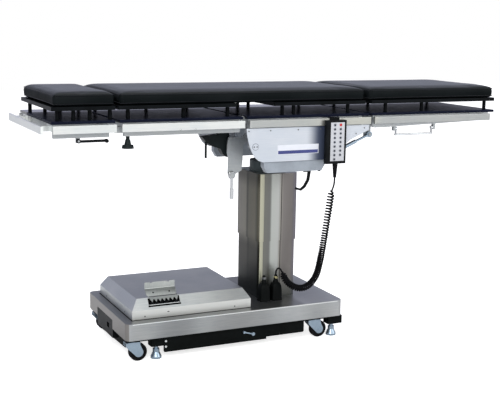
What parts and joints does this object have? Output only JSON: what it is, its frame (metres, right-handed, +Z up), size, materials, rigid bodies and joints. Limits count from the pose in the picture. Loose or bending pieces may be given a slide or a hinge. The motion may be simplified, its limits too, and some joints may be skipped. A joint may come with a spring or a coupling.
{
  "type": "operating table",
  "caption": "Operating table with head, back, seat and leg sections on padded boards and side rails, a telescopic column, pump hood, corded handset and castered base.",
  "frame": {"origin": "floor point on the column's vertical axis", "axes": "+X from the head end to the foot end along the table, +Y to the far side away from the handset, +Z up"},
  "size_m": [1.9745, 0.576, 1.024],
  "materials": {
    "brushed_stainless": "satin, brushed along the column",
    "frame_stainless": "fine satin",
    "black_steel": "semi-gloss black",
    "zinc_steel": "bluish zinc plate",
    "cast_grey": "grey enamel",
    "wheel_rubber": "dark rubber",
    "deck_laminate": "dark laminate",
    "board_black": "dark laminate",
    "pad_vinyl": "black vinyl",
    "trough_grey": "blue-grey moulding",
    "black_plastic": "black moulding",
    "chrome_wire": "bright",
    "key_grey": "membrane keys",
    "cord_rubber": "black rubber"
  },
  "bodies": {
    "base": {"base_shell": "brushed_stainless", "under_chassis": "black_steel", "pump_hood": "brushed_stainless", "override_levers": "black_plastic", "pump_unit": "black_steel", "power_inlet": "black_plastic", "connector_boots": "black_plastic", "lower_shroud": "brushed_stainless", "lift_cylinder": "cast_grey", "pendant_cord": "cord_rubber"},
    "mid": {"mid_shroud": "brushed_stainless"},
    "lift": {"upper_shroud": "brushed_stainless", "column_head": "brushed_stainless", "lift_rod": "zinc_steel"},
    "turntable": {"turntable_yoke": "zinc_steel"},
    "cross": {"tilt_cross": "zinc_steel"},
    "seat": {"seat_frame": "frame_stainless", "seat_rails": "frame_stainless", "seat_deck": "deck_laminate", "seat_board": "board_black", "seat_pad": "pad_vinyl", "fold_pad": "pad_vinyl", "side_covers": "brushed_stainless", "side_troughs": "trough_grey"},
    "back": {"back_frame": "frame_stainless", "back_rails": "frame_stainless", "back_deck": "deck_laminate", "back_board": "board_black", "back_pad": "pad_vinyl", "back_drive_arms": "black_steel"},
    "head": {"head_frame": "frame_stainless", "head_rails": "frame_stainless", "head_deck": "deck_laminate", "head_board": "board_black", "head_pad": "pad_vinyl"},
    "leg": {"leg_frame": "frame_stainless", "leg_rails": "frame_stainless", "leg_deck": "deck_laminate", "leg_board": "board_black", "leg_pad": "pad_vinyl"},
    "leg_link": {"leg_link_rod": "zinc_steel"},
    "handset": {"handset_body": "black_plastic", "handset_keys": "key_grey", "handset_strain_relief": "cord_rubber"},
    "feet": {"floor_lock_feet": "zinc_steel"},
    "brake": {"brake_lever": "black_plastic"},
    "flap": {"hood_flap": "frame_stainless"},
    "clamp_knob": {"head_clamp_knob": "black_plastic"},
    "head_lever": {"head_release_lever": "black_plastic"},
    "bail": {"leg_release_bail": "chrome_wire"},
    "rotation_lever": {"rotation_lock_lever": "chrome_wire"},
    "tilt_lever": {"tilt_lock_lever": "black_plastic"},
    "fork_left_near": {"caster_fork_left_near": "zinc_steel"},
    "wheel_left_near": {"caster_wheel_left_near": "wheel_rubber"},
    "fork_left_far": {"caster_fork_left_far": "zinc_steel"},
    "wheel_left_far": {"caster_wheel_left_far": "wheel_rubber"},
    "fork_right_near": {"caster_fork_right_near": "zinc_steel"},
    "wheel_right_near": {"caster_wheel_right_near": "wheel_rubber"},
    "fork_right_far": {"caster_fork_right_far": "zinc_steel"},
    "wheel_right_far": {"caster_wheel_right_far": "wheel_rubber"}
  },
  "joints": [
    {"name": "column_lift", "type": "slide", "parent": "base", "child": "lift", "axis": [0, 0, 1], "range_m": [-0.15, 0.12], "deforming": ["pendant_cord"]},
    {"name": "mid_shroud_slide", "type": "slide", "parent": "base", "child": "mid", "axis": [0, 0, 1], "range_m": [-0.075, 0.06]},
    {"name": "top_rotation", "type": "hinge", "parent": "lift", "child": "turntable", "pos_m": [0, 0, 0.71], "axis": [0, 0, 1], "range_deg": [-90, 90]},
    {"name": "trendelenburg", "type": "hinge", "parent": "turntable", "child": "cross", "pos_m": [0, 0, 0.79], "axis": [0, 1, 0], "range_deg": [-25, 25]},
    {"name": "side_tilt", "type": "hinge", "parent": "cross", "child": "seat", "pos_m": [0, 0, 0.79], "axis": [1, 0, 0], "range_deg": [-18, 18]},
    {"name": "back_section", "type": "hinge", "parent": "seat", "child": "back", "pos_m": [-0.221, 0, 0.916], "axis": [0, 1, 0], "range_deg": [-15, 75], "deforming": ["fold_pad"]},
    {"name": "head_section", "type": "hinge", "parent": "back", "child": "head", "pos_m": [-0.726, 0, 0.888], "axis": [0, 1, 0], "range_deg": [-45, 0]},
    {"name": "leg_section", "type": "hinge", "parent": "seat", "child": "leg", "pos_m": [0.3355, 0, 0.888], "axis": [0, 1, 0], "range_deg": [0, 75]},
    {"name": "leg_link_pivot", "type": "hinge", "parent": "leg", "child": "leg_link", "pos_m": [0.3912, -0.159, 0.8271], "axis": [0, 1, 0], "range_deg": [-88, 0]},
    {"name": "handset_unhook", "type": "slide", "parent": "seat", "child": "handset", "axis": [0, 0, 1], "range_m": [0, 0.05]},
    {"name": "feet_lift", "type": "slide", "parent": "base", "child": "feet", "axis": [0, 0, 1], "range_m": [0, 0.012]},
    {"name": "brake_swing", "type": "hinge", "parent": "base", "child": "brake", "pos_m": [-0.17, -0.2458, 0.056], "axis": [0, 1, 0], "range_deg": [-15, 15]},
    {"name": "flap_hinge", "type": "hinge", "parent": "base", "child": "flap", "pos_m": [-0.528, -0.182, 0.2352], "axis": [1, 0, 0], "range_deg": [0, 115]},
    {"name": "clamp_knob_turn", "type": "hinge", "parent": "back", "child": "clamp_knob", "pos_m": [-0.684, -0.237, 0.84], "axis": [0, 0, 1], "continuous": true},
    {"name": "head_lever_pull", "type": "hinge", "parent": "head", "child": "head_lever", "pos_m": [-0.868, -0.24, 0.853], "axis": [0, 1, 0], "range_deg": [0, 12], "stiffness_Nm_per_rad": 1.5, "springref_deg": -11.46},
    {"name": "bail_swing", "type": "hinge", "parent": "leg", "child": "bail", "pos_m": [0.558, -0.237, 0.857], "axis": [1, 0, 0], "range_deg": [-35, 35]},
    {"name": "rotation_lever_swing", "type": "hinge", "parent": "seat", "child": "rotation_lever", "pos_m": [-0.232, -0.157, 0.686], "axis": [0, 1, 0], "range_deg": [-25, 15]},
    {"name": "tilt_lever_pull", "type": "hinge", "parent": "seat", "child": "tilt_lever", "pos_m": [0.08, -0.237, 0.722], "axis": [0, 1, 0], "range_deg": [-10, 25]},
    {"name": "swivel_left_near", "type": "hinge", "parent": "base", "child": "fork_left_near", "pos_m": [-0.665, -0.215, 0.08], "axis": [0, 0, 1], "continuous": true},
    {"name": "wheel_left_near_turn", "type": "hinge", "parent": "fork_left_near", "child": "wheel_left_near", "pos_m": [-0.643, -0.215, 0.035], "axis": [0, 1, 0], "continuous": true},
    {"name": "swivel_left_far", "type": "hinge", "parent": "base", "child": "fork_left_far", "pos_m": [-0.665, 0.215, 0.08], "axis": [0, 0, 1], "continuous": true},
    {"name": "wheel_left_far_turn", "type": "hinge", "parent": "fork_left_far", "child": "wheel_left_far", "pos_m": [-0.643, 0.215, 0.035], "axis": [0, 1, 0], "continuous": true},
    {"name": "swivel_right_near", "type": "hinge", "parent": "base", "child": "fork_right_near", "pos_m": [0.117, -0.215, 0.08], "axis": [0, 0, 1], "continuous": true},
    {"name": "wheel_right_near_turn", "type": "hinge", "parent": "fork_right_near", "child": "wheel_right_near", "pos_m": [0.139, -0.215, 0.035], "axis": [0, 1, 0], "continuous": true},
    {"name": "swivel_right_far", "type": "hinge", "parent": "base", "child": "fork_right_far", "pos_m": [0.117, 0.215, 0.08], "axis": [0, 0, 1], "continuous": true},
    {"name": "wheel_right_far_turn", "type": "hinge", "parent": "fork_right_far", "child": "wheel_right_far", "pos_m": [0.139, 0.215, 0.035], "axis": [0, 1, 0], "continuous": true}
  ],
  "couplings": [
    {"joint": "mid_shroud_slide", "follows": "column_lift", "ratio": 0.5},
    {"joint": "leg_link_pivot", "follows": "leg_section", "ratio": -1.157}
  ]
}
